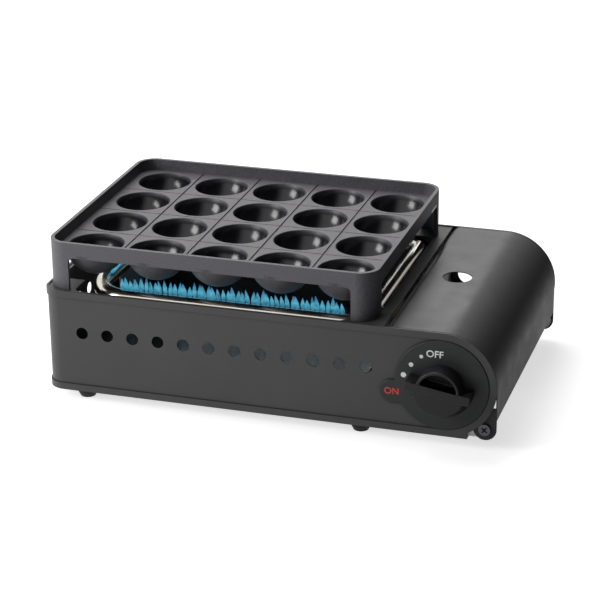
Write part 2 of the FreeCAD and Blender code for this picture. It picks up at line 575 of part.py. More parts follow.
# Valve body behind the front panel, on the knob's axis, with the canister socket at its back.
axis = ("end_x", "end_z")
block_front = "-(valve_front - post_long)"
socket_floor = "-(valve_rear + socket_deep)"
valve_solid = fuse("valve_solid",
                   box("valve_block", ("end_x - valve_wide / 2", "end_x + valve_wide / 2"),
                       (block_front, "-valve_rear"), ("end_z - valve_high / 2", "end_z + valve_high / 2")),
                   cyl("valve_boss", "Y", "boss_rad", "-valve_front", "-(valve_front - boss_long)", axis),
                   cyl("valve_disc", "Y", "valve_flange", "-(valve_rear + flange_thick)", "-valve_rear",
                       axis))
valve_bores = [cyl("spindle_bore", "Y", "spindle_rad + spindle_fit", "-(valve_front + past)",
                   "-(valve_front - spindle_in - 0.2)", axis),
               cyl("needle_bore", "Y", "needle_rad + needle_fit", "-(valve_front - boss_long)",
                   "-(valve_rear + socket_deep - 1)", axis),
               cyl("socket_bore", "Y", "socket_rad", socket_floor, "-(valve_rear - past)", axis)]
part("valve_body", cut("valve", valve_solid, *valve_bores))
part("nozzle_seal", cut("seal", cyl("seal_disc", "Y", "socket_rad - seal_fit", socket_floor,
                                    f"{socket_floor} + seal_thick", axis),
                        cyl("seal_bore_way", "Y", "seal_bore", f"{socket_floor} - past",
                            f"{socket_floor} + past", axis)))
part("magnet_ring", cut("magnet", cyl("magnet_disc", "Y", "valve_flange - magnet_rim", "-valve_rear",
                                      "-(valve_rear - magnet_thick)", axis),
                        cyl("magnet_bore_way", "Y", "magnet_bore", "-(valve_rear + past)",
                            "-(valve_rear - past)", axis)))
needle_end = "-(valve_front - needle_in) + (valve_back - 2 * needle_in)"
part("valve_needle", fuse("needle",
                          cyl("needle_rod", "Y", "needle_rad", "-(valve_front - needle_in)", needle_end,
                              axis),
                          cone("needle_tip", "Y", "needle_rad", "needle_point", needle_end,
                               f"{needle_end} + needle_cone", axis)))
part("valve_spindle", cyl("spindle", "Y", "spindle_rad", "-(knob_front - bore_end)",
                          "-(valve_front - spindle_in)", axis))

# Valve posts on the front panel, under the dial plate.
posts = []
for i, (sign_x, sign_z) in enumerate((("-", "-"), ("+", "-"), ("-", "+"), ("+", "+"))):
    posts.append(cyl(f"valve_post_{i}", "Y", "post_rad", "-valve_front", block_front,
                     (f"end_x {sign_x} post_x", f"end_z {sign_z} post_z")))
part("valve_posts", fuse("posts", *posts))

# Pressure regulator on the valve's right side: housing, diaphragm and cap.
reg_axis = ("-(valve_front - regulator_back)", "end_z")
reg_x = "end_x + valve_wide / 2"
drum_end = f"{reg_x} + drum_long"
cap_start = f"{drum_end} + diaphragm_thick"
cap_mid = f"{cap_start} + cap_rim"
part("regulator_body", cut("regulator_cup",
                           cyl("regulator_drum", "X", "regulator_rad", reg_x, drum_end, reg_axis),
                           cyl("regulator_well", "X", "regulator_rad - drum_wall", f"{reg_x} + drum_wall",
                               f"{drum_end} + past", reg_axis)))
part("regulator_diaphragm", cyl("diaphragm", "X", "regulator_rad", drum_end, cap_start, reg_axis))
part("regulator_cap", fuse("cap",
                           cyl("cap_ring", "X", "regulator_rad", cap_start, cap_mid, reg_axis),
                           cone("cap_cone", "X", "regulator_rad - cap_step", "regulator_rad - cap_top",
                                cap_mid, f"{cap_mid} + cap_dome", reg_axis)))

# Gas pipe from the valve to the jet, and the jet itself on the partition.
jet_end = "wall_x + jet_long"
pipe_x, pipe_y, pipe_z = "wall_x + pipe_off", "-(valve_front - pipe_back)", "end_z - pipe_drop"
part("gas_pipe", bent_tube("pipe", "pipe_rad",
                           [("end_x - valve_wide / 2", pipe_y, pipe_z), (pipe_x, pipe_y, pipe_z),
                            (pipe_x, *inlet), (jet_end, *inlet)], "pipe_bend"))
jet = fuse("jet_solid",
           cyl("jet_disc", "X", "burner_rad", "wall_x", "wall_x + jet_flange", inlet),
           cyl("jet_barrel", "X", "jet_rad", "wall_x + jet_flange", jet_end, inlet),
           cone("jet_cone", "X", "jet_tip", "jet_root", "wall_x - steel - jet_nose", "wall_x", inlet))
part("gas_nozzle", cut("jet", jet, cyl("jet_bore_way", "X", "jet_bore", "wall_x - 2 * past",
                                       "wall_x + 2 * past", inlet)))

# Igniter under the valve block, and its lead to the electrode.
block_low = "end_z - valve_high / 2"
plunger_x, plunger_z = "end_x - (piezo_left + piezo_right) / 2", f"{block_low} - piezo_high / 2"
part("piezo_igniter", fuse("piezo",
                           box("piezo_block", ("end_x - piezo_left", "end_x - piezo_right"),
                               ("-(valve_front - piezo_front)", "-(valve_rear + piezo_rear)"),
                               (f"{block_low} - piezo_high", block_low)),
                           cyl("piezo_plunger", "Y", "plunger_rad", "-(valve_front - plunger_front)",
                               "-(valve_front - piezo_front)", (plunger_x, plunger_z))))
part("ignition_lead", bent_tube("lead", "lead_rad",
                                [("end_x - piezo_left", "-(valve_front - lead_back)", plunger_z),
                                 ("wall_x + lead_turn", "-(valve_front - lead_back)",
                                  f"{plunger_z} - lead_drop"),
                                 ("wall_x + lead_off", "-(valve_front - lead_back - lead_turn)", "end_z"),
                                 ("wall_x + lead_off + 1", *spark),
                                 ("burner_right + rod_out", *spark)], "lead_bend"))

# Canister guide: two ribs on a strip, hollowed to the canister's radius.
guide_x = ("end_x - guide_left", "base_right - guide_trim")
strip = box("guide_strip", guide_x, ("-guide_front", "guide_rear"), ("floor_z", "floor_z + guide_thick"))
ribs = [box(f"guide_rib_{i}", guide_x, (y, f"{y} + rib_thick"), ("floor_z", "floor_z + rib_high"))
        for i, y in enumerate(("rib_in_front - guide_front", "guide_rear - rib_in_rear"))]
can_space = cyl("can_space", "Y", "can_rad + can_gap", "-(guide_front + past)", "guide_rear + past", axis)
part("canister_guide", cut("guide", fuse("guide_solid", strip, *ribs), can_space))

# Canister cover: a curved sheet over the bay with a finger hole and an ear at each end.
def cover_prism(name, inset, bottom, over):
    """The cover's outline from its rounded left edge to its side, drawn in by an inset."""
    span = (f"-(cover_half + {over})", f"cover_half + {over}")
    round_z = "body_top - cover_round"
    return fuse(name,
                box(name + "_top", ("flat_left", "end_x"), span,
                    (f"{round_z} - {over}", f"body_top - {inset}")),
                cyl(name + "_edge", "Y", f"cover_round - {inset}", *span, ("flat_left", round_z)),
                cyl(name + "_nose", "Y", f"end_rad - {inset}", *span, axis),
                box(name + "_side", ("end_x", f"cover_right - {inset}"), span, (bottom, "end_z")))


hollow_low = "body_low - past"
cover_outer = cover_prism("cover_outer", "0", "pivot_z + cover_up", "0")
cover_inner = fuse("cover_inner", cover_prism("cover_hollow", "steel", hollow_low, "past"),
                   box("cover_below", ("cover_left - past", "end_x"), deep,
                       (hollow_low, "body_top - cover_lip")))
finger_hole = cyl("finger_hole", "Z", "finger_rad", "body_top - past", "body_top + past", ("finger_x", "0"))
cover_sheet = cut("cover_sheet", cover_outer, cover_inner, finger_hole)
pivot = ("pivot_x", "pivot_z")
ears = []
for side, low, high in (("front", "-cover_half", "-(cover_half - steel)"),
                        ("back", "cover_half - steel", "cover_half")):
    ears.append(cyl(f"ear_round_{side}", "Y", "ear_rad", low, high, pivot))
    ears.append(box(f"ear_web_{side}", ("pivot_x", "cover_right"), (low, high),
                    ("pivot_z", "pivot_z + ear_up")))
pin_way = cyl("pin_way", "Y", "pin_rad + pin_fit", *deep, pivot)
part("canister_cover", cut("cover", fuse("cover_solid", cover_sheet, *ears), pin_way))

# Hinge brackets, with a shoulder screw each as the cover's pivot.
plate_near, plate_far = "cover_half - steel - hinge_gap", "cover_half - steel - hinge_gap - hinge_thick"
head_near, head_far = "cover_half + hinge_gap", "cover_half + hinge_gap + head_thick"
pin_end = f"{plate_far} - pin_past"
hinge_high = "pivot_z + hinge_half"
post_left = "base_right - hinge_left"
for side in ("front", "rear"):
    spans = [(plate_far, plate_near), (head_near, head_far), (pin_end, head_near)]
    if side == "front":
        spans = [(f"-({high})", f"-({low})") for low, high in spans]
    plate_span, head_span, pin_span = spans
    plate = fuse(f"hinge_plate_{side}",
                 box(f"hinge_web_{side}", (post_left, "pivot_x"), plate_span,
                     ("pivot_z - hinge_half", hinge_high)),
                 cyl(f"hinge_eye_{side}", "Y", "hinge_half", *plate_span, pivot),
                 box(f"hinge_post_{side}", (post_left, f"{post_left} + hinge_post"), plate_span,
                     ("floor_z", hinge_high)))
    hole = cyl(f"hinge_hole_{side}", "Y", "pin_rad + pin_grip", *deep, pivot)
    part(f"hinge_bracket_{side}", cut(f"hinge_{side}", plate, hole))
    part(f"hinge_screw_{side}", fuse(f"screw_{side}",
                                     cyl(f"screw_head_{side}", "Y", "head_rad", *head_span, pivot),
                                     cyl(f"screw_pin_{side}", "Y", "pin_rad", *pin_span, pivot)))

# Catch under the cover's free edge, on the partition.
catch_top = "body_top - cover_lip - catch_gap"
part("cover_catch", box("catch", ("wall_x", "wall_x + catch_long"), ("-catch_half", "catch_half"),
                        (f"{catch_top} - catch_high", catch_top)))

# Dial plate: a disc in the recessed round end, with a small lobe for the ignition mark.
dial = fuse("dial_solid",
            cyl("dial_disc", "Y", "end_rad - border_wide - dial_gap", "-dial_front", "-recess_half", axis),
            cyl("dial_lobe", "Y", "lobe_rad", "-dial_front", "-recess_half",
                ("end_x + lobe_x", "end_z + lobe_z")))
part("dial_plate", cut("dial", dial, cyl("dial_way", "Y", "spindle_rad + spindle_way_gap", *deep, axis)))

# Knob: a finger bar across a half-round skirt below and a ring wall above. It is drawn on its
# own axis and turned to the photographed setting by its Placement.
own_axis = ("0", "0")
reach = "knob_long / 2"
whole, upper, lower = ("-knob_long", "knob_long"), ("0", "knob_long"), ("-knob_long", "0")
knob_bar = box("knob_bar", (f"-{reach}", reach), ("-knob_proud", "0"), ("-bar_wide / 2", "bar_wide / 2"))
bar_round = cyl("bar_round", "Y", reach, "-(knob_proud + past)", "past", own_axis)
skirt_cone = cone("skirt_cone", "Y", f"{reach} - skirt_slope", reach, "-(knob_proud - skirt_short)", "0",
                  own_axis)
skirt_cut = box("skirt_cut", whole, whole, upper)
ring_wall = cut("ring_wall",
                cyl("ring_out", "Y", "knob_ring", "-(knob_proud - ring_short)", "0", own_axis),
                cyl("ring_in", "Y", "knob_ring - knob_wall", "-(knob_proud + past)", "-ring_floor",
                    own_axis),
                box("ring_cut", whole, whole, lower))
knob_solid = fuse("knob_solid", common("knob_bar_cut", knob_bar, bar_round),
                  cut("knob_skirt", skirt_cone, skirt_cut), ring_wall)
knob = cut("knob", knob_solid, cyl("knob_bore", "Y", "spindle_rad + bore_grip", "-(knob_proud - bore_end)",
                                   "past", own_axis))
knob.Placement.Rotation = FreeCAD.Rotation(FreeCAD.Vector(0, 1, 0), size("knob_tilt"))
part("control_knob", place(knob, "end_x", "-knob_back", "end_z"))

# Rubber feet and the screws that hold them to the base pan.
foot_screws = []
for side_x, x in (("left", "-(body_left - foot_in_left)"), ("right", "wall_x - foot_in_right")):
    for side_y, y in (("front", "-(body_half - foot_inset)"), ("rear", "body_half - foot_inset")):
        tag = f"{side_y}_{side_x}"
        foot = fuse(f"foot_solid_{tag}",
                    cyl(f"foot_top_{tag}", "Z", "foot_rad", "foot_tip", "body_low", (x, y)),
                    cone(f"foot_cone_{tag}", "Z", "foot_rad - foot_taper", "foot_rad", "0", "foot_tip",
                         (x, y)))
        bore = fuse(f"foot_bore_{tag}",
                    cyl(f"foot_hole_{tag}", "Z", "foot_hole", "-past", "body_low + past", (x, y)),
                    cyl(f"foot_well_{tag}", "Z", "foot_well", "-past", "foot_seat", (x, y)))
        part(f"foot_{tag}", cut(f"foot_{tag}_cut", foot, bore))
        foot_screws.append(cyl(f"foot_screw_{tag}", "Z", "foot_hole - foot_fit", "foot_seat", "body_low",
                               (x, y)))
        foot_screws.append(cyl(f"foot_head_{tag}", "Z", "foot_head", "foot_seat - head_deep", "foot_seat",
                               (x, y)))
part("foot_screws", fuse("foot_screw_set", *foot_screws))

doc.recompute()

faults = []
for obj in doc.Objects:
    if "Invalid" in obj.State or "Error" in obj.State:
        faults.append(f"{obj.Name} ({obj.Label}): {obj.State}")
for name, obj in parts.items():
    if obj.Shape.isNull() or not obj.Shape.isValid() or not obj.Shape.Solids:
        faults.append(f"{name}: bad shape")
if faults:
    raise SystemExit("faults:\n" + "\n".join(faults))

os.makedirs("parts", exist_ok=True)
for name, obj in parts.items():
    obj.Shape.exportStep(f"parts/{name}.step")
whole = Part.makeCompound([obj.Shape for obj in parts.values()]).BoundBox
print(f"{len(parts)} parts, box {whole.XMin:.2f} {whole.YMin:.2f} {whole.ZMin:.2f} to "
      f"{whole.XMax:.2f} {whole.YMax:.2f} {whole.ZMax:.2f}")
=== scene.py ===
"""Looks of the table-top gas takoyaki grill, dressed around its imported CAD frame. Metres."""

import json
import math
import random

import bmesh
import bpy
from mathutils import Matrix, Vector


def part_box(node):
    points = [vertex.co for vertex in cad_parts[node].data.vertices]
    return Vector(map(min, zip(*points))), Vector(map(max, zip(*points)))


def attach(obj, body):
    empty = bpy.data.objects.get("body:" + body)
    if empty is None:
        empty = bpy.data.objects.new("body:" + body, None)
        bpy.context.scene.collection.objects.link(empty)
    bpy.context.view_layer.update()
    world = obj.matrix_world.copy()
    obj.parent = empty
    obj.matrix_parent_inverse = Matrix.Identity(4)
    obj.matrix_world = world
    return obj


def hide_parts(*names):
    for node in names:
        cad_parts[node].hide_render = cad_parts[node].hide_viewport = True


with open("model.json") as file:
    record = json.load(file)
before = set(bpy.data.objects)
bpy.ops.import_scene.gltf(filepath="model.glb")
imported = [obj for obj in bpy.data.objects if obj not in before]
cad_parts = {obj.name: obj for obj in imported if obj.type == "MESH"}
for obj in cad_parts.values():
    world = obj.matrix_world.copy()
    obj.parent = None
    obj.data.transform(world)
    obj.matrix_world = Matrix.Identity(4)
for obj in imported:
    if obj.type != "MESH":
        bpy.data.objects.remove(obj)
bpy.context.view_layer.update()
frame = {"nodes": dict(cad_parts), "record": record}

MM = 0.001

# Places read from the frame: the middle of the plate, its deck and rim, and the dial's axis.
plate_low, plate_high = (Vector(v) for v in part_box("takoyaki_plate"))
dial_low, dial_high = (Vector(v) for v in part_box("dial_plate"))
spindle_low, spindle_high = (Vector(v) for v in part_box("valve_spindle"))
burner_low, burner_high = (Vector(v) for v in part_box("burner_tube"))
plate_mid = (plate_low + plate_high) / 2
AXIS_X = (spindle_low.x + spindle_high.x) / 2
AXIS_Z = (spindle_low.z + spindle_high.z) / 2
DIAL_Y = dial_low.y
PITCH = 51 * MM
COLUMNS, ROWS = 5, 4
RIM_UP = 9.7 * MM
DECK_Z = plate_high.z - RIM_UP
BOWL_RAD = 21.9 * MM
BOWL_DEEP = 21.5 * MM

# Camera, solved from the photograph: its turn, tilt and roll, and where it looks past.
AZIMUTH, ELEVATION, ROLL = 17.38, 22.29, -0.58
DISTANCE, ASIDE, UPWARD = 1.7209, 0.0417, -0.06023
FOCAL_PX, CENTRE_PX = 2141.63, (303.15, 297.27)
FRAME_PX = 598
SENSOR = 36.0


def make_camera():
    a, e, r = (math.radians(v) for v in (AZIMUTH, ELEVATION, ROLL))
    back = Vector((math.sin(a) * math.cos(e), -math.cos(a) * math.cos(e), math.sin(e)))
    right = Vector((math.cos(a), math.sin(a), 0))
    up = back.cross(right)
    aim = Vector((plate_mid.x, plate_mid.y, DECK_Z))
    place = aim + back * DISTANCE + right * ASIDE + up * UPWARD
    turned_right = right * math.cos(r) + up * math.sin(r)
    turned_up = up * math.cos(r) - right * math.sin(r)
    data = bpy.data.cameras.new("camera")
    data.sensor_width = SENSOR
    data.lens = FOCAL_PX / FRAME_PX * SENSOR
    data.shift_x = (FRAME_PX / 2 - CENTRE_PX[0]) / FRAME_PX
    data.shift_y = (CENTRE_PX[1] - FRAME_PX / 2) / FRAME_PX
    data.clip_start = 0.05
    camera = bpy.data.objects.new("camera", data)
    turn = Matrix((turned_right, turned_up, back)).transposed().to_4x4()
    camera.matrix_world = Matrix.Translation(place) @ turn
    bpy.context.collection.objects.link(camera)
    bpy.context.scene.camera = camera


make_camera()


class Shader:
    """A small helper that builds one procedural material around a Principled shader."""

    def __init__(self, name, colour, rough=0.5, metal=0.0, specular=0.5):
        self.mat = bpy.data.materials.new(name)
        self.mat.use_nodes = True
        self.nodes, self.links = self.mat.node_tree.nodes, self.mat.node_tree.links
        self.out = self.nodes["Principled BSDF"]
        self.place = self.nodes.new("ShaderNodeTexCoord").outputs["Object"]
        self.set("Base Color", (*colour, 1))
        self.set("Roughness", rough)
        self.set("Metallic", metal)
        self.set("Specular IOR Level", specular)
        self.colour = colour

    def set(self, socket, value):
        self.out.inputs[socket].default_value = value

    def link(self, source, target):
        self.links.new(source, target)

    def math(self, kind, a, b=None):
        node = self.nodes.new("ShaderNodeMath")
        node.operation = kind
        for i, value in enumerate((a, b)):
            if value is None:
                continue
            if isinstance(value, (int, float)):
                node.inputs[i].default_value = value
            else:
                self.links.new(value, node.inputs[i])
        return node.outputs[0]

    def noise(self, scale, detail=4.0, rough=0.55, stretch=(1, 1, 1)):
        mapping = self.nodes.new("ShaderNodeMapping")
        mapping.inputs["Scale"].default_value = stretch
        self.links.new(self.place, mapping.inputs["Vector"])
        node = self.nodes.new("ShaderNodeTexNoise")
        node.inputs["Scale"].default_value = scale
        node.inputs["Detail"].default_value = detail
        node.inputs["Roughness"].default_value = rough
        self.links.new(mapping.outputs["Vector"], node.inputs["Vector"])
        return node.outputs["Fac"]

    def spread(self, value, low, high, from_low=0.3, from_high=0.7):
        node = self.nodes.new("ShaderNodeMapRange")
        for socket, number in (("From Min", from_low), ("From Max", from_high),
                               ("To Min", low), ("To Max", high)):
            node.inputs[socket].default_value = number
        self.links.new(value, node.inputs["Value"])
        return node.outputs["Result"]

    def blend(self, factor, first, second):
        node = self.nodes.new("ShaderNodeMix")
        node.data_type = "RGBA"
        self.links.new(factor, node.inputs["Factor"])
        for socket, value in ((node.inputs[6], first), (node.inputs[7], second)):
            if isinstance(value, tuple):
                socket.default_value = (*value, 1)
            else:
                self.links.new(value, socket)
        return node.outputs[2]

    def tint(self, factor, amount):
        """Colour varies by a share either side of the base along a 0..1 factor."""
        dark = tuple(c * (1 - amount) for c in self.colour)
        light = tuple(min(c * (1 + amount), 1) for c in self.colour)
        self.link(self.blend(self.spread(factor, 0, 1), dark, light), self.out.inputs["Base Color"])

    def painted_crevice_shade(self, reach, depth):
        """Painted shade: the base colour is darkened by ambient occlusion in inner corners and
        crevices.
        """
        base = self.out.inputs["Base Color"]
        before = base.links[0].from_socket
        near = self.nodes.new("ShaderNodeAmbientOcclusion")
        near.samples = 8
        near.inputs["Distance"].default_value = reach
        open_share = self.spread(near.outputs["AO"], depth, 1, 0.55, 0.95)
        mix = self.nodes.new("ShaderNodeMix")
        mix.data_type = "RGBA"
        mix.blend_type = "MULTIPLY"
        mix.inputs[0].default_value = 1
        self.links.new(before, mix.inputs[6])
        self.links.new(open_share, mix.inputs[7])
        self.link(mix.outputs[2], base)

    def vary_rough(self, factor, low, high):
        self.link(self.spread(factor, low, high), self.out.inputs["Roughness"])

    def bump(self, height, strength, distance):
        node = self.nodes.new("ShaderNodeBump")
        node.inputs["Strength"].default_value = strength
        node.inputs["Distance"].default_value = distance
        self.links.new(height, node.inputs["Height"])
        present = self.out.inputs["Normal"].links
        if present:
            self.links.new(present[0].from_socket, node.inputs["Normal"])
        self.links.new(node.outputs["Normal"], self.out.inputs["Normal"])


def paint(name, colour, rough, grain):
    """Satin paint on sheet steel: a faint orange-peel and slow changes of sheen."""
    s = Shader(name, colour, rough, specular=0.3)
    s.tint(s.noise(18, 3), 0.05)
    # Painted shade: paint darkened in crevices and along the raised border's edges.
    s.painted_crevice_shade(0.004, 0.35)
    s.vary_rough(s.noise(60, 5), rough - 0.04, rough + 0.05)
    s.bump(s.noise(2600, 3), grain, 0.00006)
    s.bump(s.noise(260, 2), 0.05, 0.0001)
    return s.mat


def cast_plate():
    """Coated casting: grained skirt and rim, an up-facing deck painted lighter as a painted reflection
    of the pale backdrop, and glossy bowls.
    """
    s = Shader("cast_plate", (0.075, 0.072, 0.082), 0.5, specular=0.5)
    parts = s.nodes.new("ShaderNodeSeparateXYZ")
    s.links.new(s.place, parts.inputs[0])
    offsets = []
    for axis, middle, count in (("X", plate_mid.x, COLUMNS), ("Y", plate_mid.y, ROWS)):
        shifted = s.math("SUBTRACT", parts.outputs[axis], middle - count / 2 * PITCH)
        wrapped = s.math("FRACT", s.math("DIVIDE", shifted, PITCH))
        offset = s.math("MULTIPLY", s.math("SUBTRACT", wrapped, 0.5), PITCH)
        offsets.append(s.math("MULTIPLY", offset, offset))
    radius = s.math("SQRT", s.math("ADD", *offsets))
    near = s.spread(radius, 1, 0, BOWL_RAD - 0.8 * MM, BOWL_RAD + 0.2 * MM)
    normal = s.nodes.new("ShaderNodeSeparateXYZ")
    s.links.new(s.nodes.new("ShaderNodeNewGeometry").outputs["Normal"], normal.inputs[0])
    faces_up = s.math("GREATER_THAN", normal.outputs["Z"], -0.02)
    below_lip = s.math("LESS_THAN", parts.outputs["Z"], DECK_Z - 0.4 * MM)
    above_floor = s.math("GREATER_THAN", parts.outputs["Z"], DECK_Z - BOWL_DEEP)
    bowl = s.math("MULTIPLY", s.math("MULTIPLY", near, faces_up),
                  s.math("MULTIPLY", below_lip, above_floor))
    # Painted reflection: the flat up-facing deck outside the bowls gets a lighter colour than the skirt
    # and rim.
    level = s.spread(normal.outputs["Z"], 0, 1, 0.6, 0.9)
    painted_deck_light = s.math("MULTIPLY", level, s.math("SUBTRACT", 1, bowl))
    coarse = s.noise(900, 6, 0.6)
    fine = s.noise(2600, 4, 0.6)
    grain = s.spread(s.math("ADD", coarse, fine), 0, 1, 0.8, 1.2)
    skin = s.blend(grain, (0.052, 0.05, 0.058), (0.105, 0.1, 0.112))
    # Lighter copy of the casting colour for the deck: painted reflection.
    deck = s.blend(grain, (0.085, 0.08, 0.086), (0.125, 0.118, 0.126))
    mixed = s.blend(painted_deck_light, skin, deck)
    s.link(s.blend(bowl, mixed, (0.011, 0.011, 0.015)), s.out.inputs["Base Color"])
    rough = s.nodes.new("ShaderNodeMix")
    s.links.new(bowl, rough.inputs[0])
    s.links.new(s.spread(coarse, 0.42, 0.6), rough.inputs[2])
    s.links.new(s.spread(s.noise(40, 3), 0.16, 0.24), rough.inputs[3])
    s.link(rough.outputs[0], s.out.inputs["Roughness"])
    outside_bowls = s.math("SUBTRACT", 1, s.math("MULTIPLY", bowl, 0.85))
    grit = s.math("MULTIPLY", s.math("ADD", coarse, fine), outside_bowls)
    s.bump(grit, 0.5, 0.00018)
    return s.mat


def brushed(name, colour, rough, stretch, strength=0.12, metal=1.0):
    """Rolled or brushed metal sheet with fine streaks along its grain."""
    s = Shader(name, colour, rough, metal=metal)
    streak = s.noise(500, 5, 0.6, stretch)
    s.tint(s.noise(30, 4), 0.1)
    s.vary_rough(streak, rough - 0.07, rough + 0.09)
    s.bump(streak, strength, 0.00008)
    return s.mat


def polished(name, colour, rough):
    """Polished tube, faintly heat-tinted here and there."""
    s = Shader(name, colour, rough, metal=1.0)
    tinted = s.spread(s.noise(26, 4), 0, 0.5)
    s.link(s.blend(tinted, colour, HEAT_TINT), s.out.inputs["Base Color"])
    s.vary_rough(s.noise(140, 5), rough, rough + 0.1)
    s.bump(s.noise(700, 3), 0.04, 0.00005)
    return s.mat


def moulded(name, colour, rough, grain=0.25, scale=1500):
    """Moulded plastic or rubber with a fine spark-eroded grain."""
    s = Shader(name, colour, rough, specular=0.3)
    s.tint(s.noise(90, 3), 0.06)
    s.vary_rough(s.noise(220, 4), rough - 0.05, rough + 0.07)
    s.bump(s.noise(scale, 4), grain, 0.00006)
    return s.mat


def printed(name, colour):
    """Screen-printed ink, a little matt and slightly uneven."""
    s = Shader(name, colour, 0.55)
    s.tint(s.noise(1500, 3), 0.08)
    s.bump(s.noise(2500, 2), 0.1, 0.00003)
    return s.mat


HEAT_TINT = (0.62, 0.5, 0.34)
MATERIALS = {
    "cast_plate": cast_plate(),
    "body_paint": paint("body_paint", (0.056, 0.057, 0.056), 0.45, 0.22),
    "cover_paint": paint("cover_paint", (0.024, 0.023, 0.027), 0.32, 0.16),
    "zinc_sheet": brushed("zinc_sheet", (0.6, 0.6, 0.6), 0.5, (1, 1, 8), metal=0.5),
    "bright_sheet": brushed("bright_sheet", (0.9, 0.89, 0.88), 0.55, (1, 9, 1), 0.06, metal=0.3),
    "burner_steel": polished("burner_steel", (0.8, 0.78, 0.74), 0.12),
    "ceramic": moulded("ceramic", (0.78, 0.75, 0.68), 0.25, 0.06, 300),
    "steel_rod": brushed("steel_rod", (0.13, 0.13, 0.135), 0.4, (6, 6, 6)),
    "zinc_casting": moulded("zinc_casting", (0.42, 0.43, 0.45), 0.5, 0.4, 900),
    "seal_rubber": moulded("seal_rubber", (0.02, 0.02, 0.02), 0.6),
    "magnet_black": moulded("magnet_black", (0.035, 0.035, 0.038), 0.5),
    "brass": brushed("brass", (0.7, 0.52, 0.25), 0.3, (1, 8, 8)),
    "copper": brushed("copper", (0.72, 0.38, 0.24), 0.3, (5, 5, 1)),
    "igniter_plastic": moulded("igniter_plastic", (0.06, 0.06, 0.065), 0.45),
    "lead_sleeve": moulded("lead_sleeve", (0.5, 0.5, 0.47), 0.55),
    "dial_plastic": moulded("dial_plastic", (0.022, 0.023, 0.024), 0.42, 0.3),
    "knob_plastic": moulded("knob_plastic", (0.012, 0.012, 0.014), 0.38, 0.2),
    "foot_rubber": moulded("foot_rubber", (0.022, 0.022, 0.022), 0.62, 0.4, 900),
}
SLOTS = {entry["node"]: entry["material_slot"] for entry in frame["record"]["subparts"]}
BODIES = {}
for body, members in frame["record"]["behaviour"]["bodies"].items():
    for member in members:
        BODIES[member] = body

for node, obj in frame["nodes"].items():
    mat = MATERIALS[SLOTS[node]]
    if not obj.material_slots:
        obj.data.materials.append(mat)
    for entry in obj.material_slots:
        entry.material = mat


SMOOTH_BELOW = math.radians(35)
ROUND_ABOVE = math.radians(40)
FLAT_WITHIN = math.radians(0.6)


def link(obj):
    bpy.context.collection.objects.link(obj)
    return obj


def shade(obj):
    for poly in obj.data.polygons:
        poly.use_smooth = True
    bpy.context.view_layer.objects.active = obj
    obj.select_set(True)
    bpy.ops.object.shade_smooth_by_angle(angle=SMOOTH_BELOW)
    obj.select_set(False)


def softened(node, width, segments):
    """A CAD node's own form with its sharp edges rounded off, standing for that node."""
    mesh = frame["nodes"][node].data.copy()
    obj = link(bpy.data.objects.new(node + "_soft", mesh))
    bm = bmesh.new()
    bm.from_mesh(mesh)
    bmesh.ops.remove_doubles(bm, verts=bm.verts, dist=0.00002)
    bmesh.ops.dissolve_limit(bm, angle_limit=FLAT_WITHIN, verts=bm.verts, edges=bm.edges)
    bm.to_mesh(mesh)
    bm.free()
    bevel = obj.modifiers.new("round", "BEVEL")
    bevel.width = width
    bevel.segments = segments
    bevel.limit_method = "ANGLE"
    bevel.angle_limit = ROUND_ABOVE
    bevel.use_clamp_overlap = True
    shade(obj)
    level = obj.modifiers.new("level", "WEIGHTED_NORMAL")
    level.keep_sharp = True
    level.weight = 100
    apply_modifiers(obj)
    obj.data.materials.clear()
    obj.data.materials.append(MATERIALS[SLOTS[node]])
    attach(obj, BODIES[node])
    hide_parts(node)


def apply_modifiers(obj):
    graph = bpy.context.evaluated_depsgraph_get()
    mesh = bpy.data.meshes.new_from_object(obj.evaluated_get(graph))
    obj.modifiers.clear()
    obj.data = mesh


for node, width, segments in (("takoyaki_plate", 0.7 * MM, 3), ("control_knob", 0.7 * MM, 3),
                              ("dial_plate", 0.4 * MM, 2), ("canister_cover", 0.3 * MM, 2),
                              ("body_shell", 0.3 * MM, 2)):
    softened(node, width, segments)


# Marks printed on the dial: OFF, three growing dots and ON.
MARK_LIFT = 0.08 * MM
WHITE_INK = printed("white_ink", (0.85, 0.85, 0.85))
RED_INK = printed("red_ink", (0.62, 0.05, 0.045))


def finish_mark(obj, material):
    obj.data.materials.append(material)
    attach(obj, "body")


def dot(name, dx, dz, rad):
    bm = bmesh.new()
    bmesh.ops.create_cone(bm, cap_ends=True, segments=40, radius1=rad, radius2=rad * 0.97,
                          depth=2 * MARK_LIFT)
    turn = Matrix.Rotation(math.radians(90), 4, "X")
    bmesh.ops.transform(bm, matrix=turn, verts=bm.verts)
    bmesh.ops.translate(bm, vec=(AXIS_X + dx, DIAL_Y, AXIS_Z + dz), verts=bm.verts)
    mesh = bpy.data.meshes.new(name)
    bm.to_mesh(mesh)
    bm.free()
    obj = link(bpy.data.objects.new(name, mesh))
    finish_mark(obj, WHITE_INK)


def word(name, text, dx, dz, height, material):
    curve = bpy.data.curves.new(name, "FONT")
    curve.body = text
    curve.size = height
    curve.align_x, curve.align_y = "CENTER", "CENTER"
    curve.extrude = MARK_LIFT
    curve.offset = 0.12 * MM
    obj = link(bpy.data.objects.new(name + "_curve", curve))
    graph = bpy.context.evaluated_depsgraph_get()
    mesh = bpy.data.meshes.new_from_object(obj.evaluated_get(graph))
    bpy.data.objects.remove(obj)
    mesh.transform(Matrix.Rotation(math.radians(90), 4, "X"))
    mesh.transform(Matrix.Translation((AXIS_X + dx, DIAL_Y, AXIS_Z + dz)))
    obj = link(bpy.data.objects.new(name, mesh))
    mesh.materials.clear()
    finish_mark(obj, material)


